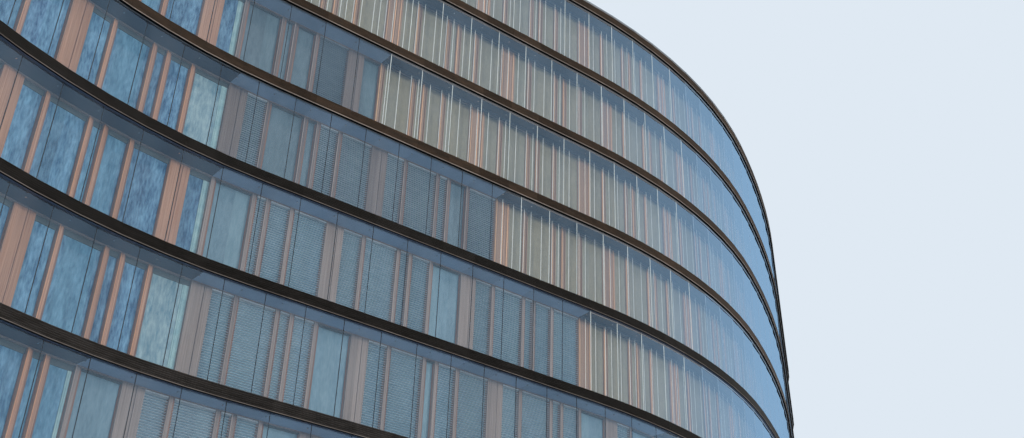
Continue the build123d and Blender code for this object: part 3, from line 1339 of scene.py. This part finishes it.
@dataclass
class SlatBlinds:
    """Blinds of one storey: slats lowered in front of a window, or gathered in the walkway on white tapes."""

    storey: Storey
    depth: float = 0.265
    # Lowered slats: their middle behind the front of the posts, and the play beside them.
    window_depth: float = 27.0 * MM
    play: float = 3.0 * MM
    edges: Span = (0.015, 0.985)
    tapes: tuple[float, ...] = (0.13, 0.51, 0.89)
    tape_width: float = 14.0 * MM
    tape_thickness: float = 1.5 * MM
    slat_depth: float = 34.0 * MM
    slat_thickness: float = 1.5 * MM
    slat_pitch: float = 40.0 * MM
    # Lowest slat over the floor, and topmost slat under the box.
    slat_play: Span = (30.0 * MM, 12.0 * MM)
    # Tilt of the slats on one storey, and its growth per storey and spread, all in degrees.
    tilt_level: int = 2
    tilt: float = -11.0
    tilt_step: float = 6.5
    tilt_spread: Span = (-5.0, 4.0)
    # Share of these windows whose blind is up.
    raised_share: float = 0.2
    box_height: float = 24.0 * MM
    # Topmost storey with the whiter slats, painted light.
    white_until: int = 5
    # Gathered slats: height, half of the depth, and distance under the ceiling.
    pack_height: float = 40.0 * MM
    pack_reach: float = 20.0 * MM
    pack_play: float = 6.0 * MM
    tape_foot: float = 20.0 * MM

    def gathered(self) -> list[Bar]:
        """Box with the gathered slats, and its tapes down to the floor.

        Returns:
            The bars.
        """
        top = self.storey.soffit - self.pack_play
        front = self.depth - self.slat_depth / 2.0 - self.tape_thickness
        up = (self.storey.floor + self.tape_foot, self.storey.soffit - self.pack_height)
        return [Bar(self.edges, (self.depth - self.pack_reach, self.depth + self.pack_reach),
                    (top - self.pack_height, top), Finishes.blind_box),
                *(Bar(LINE.span(self.tape_width, place), (front, front + self.tape_thickness), up,
                      Finishes.tape) for place in self.tapes)]

    def lowered(self, span: Span, wall: InnerWall, tilt: float) -> list[Bar]:
        """Slats and box of a blind in front of a window.

        Args:
            span: Ends of the window in panes.
            wall: The wall that the window is in.
            tilt: Tilt of the slats in degrees.

        Returns:
            The bars.
        """
        # The whiter slats of the lower storeys are painted light.
        slat = Finishes.slat_low if self.storey.level <= self.white_until else Finishes.slat
        play = LINE.panes(self.play)
        across = (span[0] + play, span[1] - play)
        middle = wall.setback + self.window_depth
        depth = (middle - self.slat_depth / 2.0, middle + self.slat_depth / 2.0)
        low = self.storey.floor + self.slat_play[0]
        high = wall.head - self.box_height - self.slat_play[1]
        bars = [Bar(across, depth, (wall.head - self.box_height, wall.head), slat)]
        for number in range(int((high - low) / self.slat_pitch)):
            height = high - self.slat_pitch * number
            bars.append(Bar(across, depth, (height - self.slat_thickness, height), slat, math.radians(tilt)))
        return bars

    def build(self) -> None:
        """Makes the blinds of the storey."""
        blinds = Strip(f"slat_blinds_{self.storey.name}")
        blinds.add(self.gathered(), self.storey.panes_with(Blind.GATHERED))
        wall = InnerWall(self.storey)
        usual = self.tilt + self.tilt_step * (self.storey.level - self.tilt_level)
        for span in wall.window_spans():
            chosen = self.storey.with_blind(Blind.LOWERED, wall.starts, (span[0] + span[1]) / 2.0)
            tilt_of = {s: usual + CHANCE.choice(self.tilt_spread) for s in chosen
                       if CHANCE.random() > self.raised_share}
            for tilt in sorted(set(tilt_of.values())):
                blinds.add(self.lowered(span, wall, tilt), [s for s in tilt_of if tilt_of[s] == tilt])
        blinds.hand_over("portal_metal")


@dataclass
class RoofEdge:
    """Coping on the roof kerb and the slim rail with clamps above the top ledge."""

    joint: float = 3.0 * MM
    coping_top: float = 8.0 * MM
    # Edges of the coping from the outer glass inward, and its turned-down apron over the ledge.
    coping: Span = (-0.02, 0.115)
    apron: float = 6.0 * MM
    apron_foot: float = 2.0 * MM
    rail_outward: float = 42.0 * MM
    rail: float = 12.0 * MM
    rail_height: float = 28.0 * MM
    # Width and height of a clamp, and how far it stands past the rail.
    clamp: Span = (18.0 * MM, 52.0 * MM)
    clamp_play: float = 2.0 * MM

    def build(self) -> None:
        """Makes the coping, the rail and its clamps."""
        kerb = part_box("roof_upstand")[1][2]
        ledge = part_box("sun_ledge_roof")[1][2]
        gap = LINE.panes(self.joint / 2.0)
        span, outer = (gap, 1.0 - gap), self.coping[0]
        edge = Strip("roof_coping")
        edge.add([Bar(span, self.coping, (kerb, kerb + self.coping_top), Finishes.coping),
                  Bar(span, (outer, outer + self.apron), (ledge + self.apron_foot, kerb), Finishes.coping)])
        edge.hand_over("roof_edge")
        height = ledge + self.rail_height
        near, far = -self.rail_outward, -self.rail_outward - self.rail
        width, tall = self.clamp
        top = Strip("roof_edge_rail")
        top.add([Bar((0.0, 1.0), (far, near), (height, height + self.rail), Finishes.roof_rail)])
        top.add([Bar(LINE.span(width), (far - self.clamp_play, near + self.clamp_play), (ledge, ledge + tall),
                     Finishes.steel)])
        top.hand_over("roof_edge")


class CadPieces:
    """Nodes that stay visible and only get a finish: the slabs, the roof kerb and the doorway."""

    finishes: dict[str, Finish] = {
        "floor_slab_roof": Finishes.roofing,
        "roof_upstand": Finishes.coping,
        "entrance_jambs": Finishes.coping,
        "entrance_head": Finishes.coping,
    }

    def dress(self) -> None:
        """Gives each node its finish, which is concrete where none is named."""
        for name, node in frame["nodes"].items():
            node.data.materials.clear()
            node.data.materials.append(self.finishes.get(name, Finishes.concrete).material())


# Surroundings


@dataclass(frozen=True)
class Studio:
    """Plain pale floor, soft light from three sides and a pale background."""

    floor_radius: float = 150.0
    floor_sides: int = 96
    floor_height: float = -1.0 * MM
    background: str = "#dfe9f3"
    floor: str = "#dcdcda"
    sky_level: float = 0.62
    # Each sun: turn about Z from the front in degrees, height in degrees, strength.
    suns: tuple[Triple, ...] = ((38.0, 7.0, 1.7), (-48.0, 6.0, 0.75), (165.0, 30.0, 0.9))
    softness: float = math.radians(10.0)

    def build(self) -> None:
        """Makes the floor, the lamps and the world."""
        disc = bmesh.new()
        bmesh.ops.create_circle(disc, cap_ends=True, segments=self.floor_sides, radius=self.floor_radius)
        mesh = bpy.data.meshes.new("studio_floor")
        disc.to_mesh(mesh)
        disc.free()
        mesh.transform(Matrix.Translation((0.0, 0.0, self.floor_height)))
        paint = CastOrRolled("studio_floor_paint", self.floor, self.floor, 0.9, patch=4.0, grit=50.0 * MM)
        mesh.materials.append(paint.material())
        floor = bpy.data.objects.new("studio_floor", mesh)
        bpy.context.scene.collection.objects.link(floor)
        for number, (turn, height, strength) in enumerate(self.suns):
            self.add_sun(f"studio_sun_{number + 1}", turn, height, strength)
        self.add_world()

    def add_sun(self, name: str, turn: float, height: float, strength: float) -> None:
        """Adds one soft sun.

        Args:
            name: Name of the lamp.
            turn: Turn about Z from the front in degrees.
            height: Height over the floor in degrees.
            strength: Strength of the light.
        """
        light = bpy.data.lights.new(name, "SUN")
        light.energy = strength
        light.angle = self.softness
        lamp = bpy.data.objects.new(name, light)
        lamp.visible_glossy = False
        around, up = math.radians(turn), math.radians(height)
        toward = Vector((math.sin(around) * math.cos(up), -math.cos(around) * math.cos(up), math.sin(up)))
        lamp.rotation_euler = toward.to_track_quat("Z", "Y").to_euler()
        bpy.context.scene.collection.objects.link(lamp)

    def add_world(self) -> None:
        """Adds even light, with the pale background for the camera, for gloss and through glass."""
        world = bpy.data.worlds.new("studio_world")
        world.use_nodes = True
        sheet = NodeSheet(world.node_tree)
        shown = sheet.add("ShaderNodeLightPath", out="Is Camera Ray")
        for ray in ("Is Glossy Ray", "Is Transmission Ray"):
            shown = sheet.add("ShaderNodeMath", (shown, sheet.add("ShaderNodeLightPath", out=ray)),
                              operation="MAXIMUM")
        light, pale = (sheet.add("ShaderNodeBackground", {"Color": colour, "Strength": level})
                       for colour, level in ((linear("#ffffff"), self.sky_level),
                                             (linear(self.background), 1.0)))
        sheet.add("ShaderNodeOutputWorld", {"Surface": sheet.add("ShaderNodeMixShader", (shown, light, pale))})
        bpy.context.scene.world = world


@dataclass(frozen=True)
class PhotoCamera:
    """Camera at the photograph's viewing angle, near the ground and looking up to the right."""

    # Shift from the left end of the straight front, and height of the eye.
    aside: Span = (-6.075, -14.503)
    height: float = 0.8
    turn: float = math.radians(37.0)
    pitch: float = math.radians(30.72)
    roll: float = math.radians(1.95)
    lens: float = 40.79
    sensor: float = 36.0
    reach: float = 400.0

    def build(self) -> None:
        """Makes the camera and sets it."""
        level = Vector((math.cos(self.turn), -math.sin(self.turn), 0.0))
        ahead = Vector((math.cos(self.pitch) * math.sin(self.turn), math.cos(self.pitch) * math.cos(self.turn),
                        math.sin(self.pitch)))
        upward = level.cross(ahead)
        right = math.cos(self.roll) * level + math.sin(self.roll) * upward
        top = math.cos(self.roll) * upward - math.sin(self.roll) * level
        lens = bpy.data.cameras.new("photo_camera")
        lens.lens = self.lens
        lens.sensor_width = self.sensor
        lens.sensor_fit = "HORIZONTAL"
        lens.clip_end = self.reach
        camera = bpy.data.objects.new("photo_camera", lens)
        rows = Matrix((right, top, -ahead)).transposed().to_4x4()
        corner = LINE.at_pane(LINE.front_start)
        spot = (corner.x + self.aside[0], corner.y + self.aside[1], self.height)
        camera.matrix_world = Matrix.Translation(spot) @ rows
        bpy.context.scene.collection.objects.link(camera)
        bpy.context.scene.camera = camera


def main() -> None:
    """Builds the finish of the whole building and its surroundings."""
    logging.basicConfig(level=logging.INFO)
    bpy.context.scene.view_settings.view_transform = "Standard"
    PhotoCamera().build()
    Studio().build()
    CadPieces().dress()
    for level in range(TOP_LEVEL + 1):
        storey = Storey(level)
        for part in (OuterSkin, SunLedge, InnerWall, WalkwayFittings, SlatBlinds):
            part(storey).build()
    RoofEdge().build()


if __name__ == "__main__":
    main()
